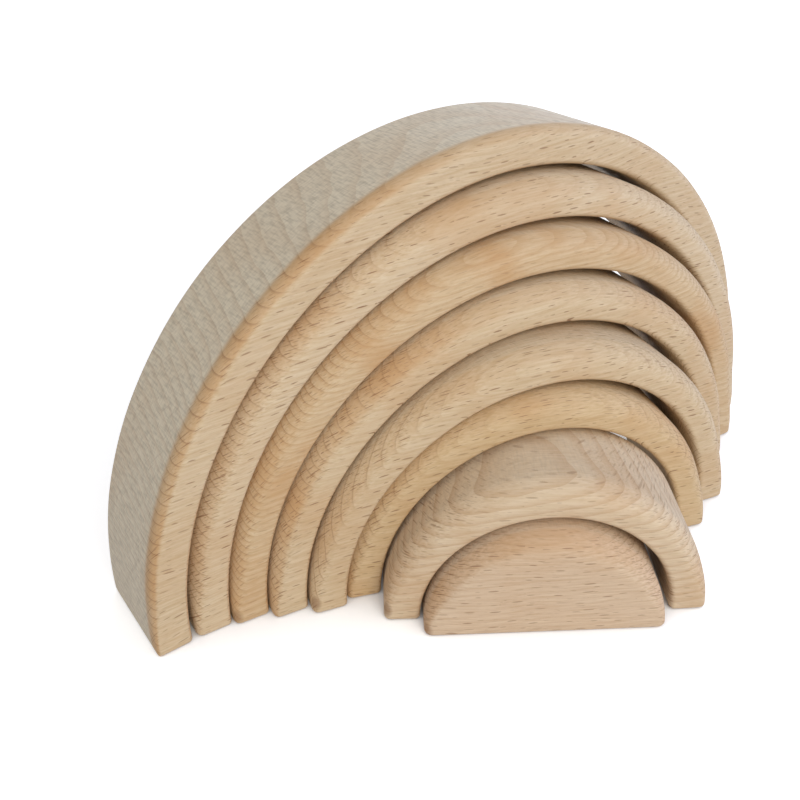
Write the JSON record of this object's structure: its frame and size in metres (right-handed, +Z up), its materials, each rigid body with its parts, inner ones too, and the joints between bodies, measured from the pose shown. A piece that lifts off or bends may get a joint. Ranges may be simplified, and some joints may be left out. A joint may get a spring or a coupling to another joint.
{
  "type": "nesting rainbow stacker",
  "caption": "Natural beech rainbow stacker: half-ring arches that nest around a solid half-round, standing fanned out, each free to slide out of the next larger one.",
  "frame": {"origin": "middle of the set's footprint, on the floor", "axes": "+Z up, +X to the right along the outer arch, +Y to the back; the outer arch faces -Y"},
  "size_m": [0.24, 0.1076, 0.12],
  "materials": {
    "outer_beech": "bare, finely sanded beech with crisp edges",
    "beech": "bare, finely sanded beech with soft edges"
  },
  "bodies": {
    "outer_arch": {"outer_arch": "outer_beech"},
    "second_arch": {"second_arch": "beech"},
    "third_arch": {"third_arch": "beech"},
    "fourth_arch": {"fourth_arch": "beech"},
    "fifth_arch": {"fifth_arch": "beech"},
    "sixth_arch": {"sixth_arch": "beech"},
    "smallest_arch": {"smallest_arch": "beech"},
    "half_round": {"half_round": "beech"}
  },
  "joints": [
    {"name": "second_arch_slide", "type": "slide", "parent": "outer_arch", "child": "second_arch", "axis": [0, -1, 0], "range_m": [-0.0073, 0.036]},
    {"name": "third_arch_slide", "type": "slide", "parent": "second_arch", "child": "third_arch", "axis": [-0.0678, -0.9977, 0], "range_m": [-0.0065, 0.034]},
    {"name": "fourth_arch_slide", "type": "slide", "parent": "third_arch", "child": "fourth_arch", "axis": [-0.1209, -0.9927, 0], "range_m": [-0.0063, 0.032]},
    {"name": "fifth_arch_slide", "type": "slide", "parent": "fourth_arch", "child": "fifth_arch", "axis": [-0.1577, -0.9875, 0], "range_m": [-0.01, 0.032]},
    {"name": "sixth_arch_slide", "type": "slide", "parent": "fifth_arch", "child": "sixth_arch", "axis": [-0.2473, -0.9689, 0], "range_m": [-0.002, 0.037]},
    {"name": "smallest_arch_slide", "type": "slide", "parent": "sixth_arch", "child": "smallest_arch", "axis": [-0.3427, -0.9395, 0], "range_m": [-0.0008, 0.023]},
    {"name": "half_round_slide", "type": "slide", "parent": "smallest_arch", "child": "half_round", "axis": [-0.5536, -0.8327, 0], "range_m": [-0.0065, 0.029]}
  ]
}
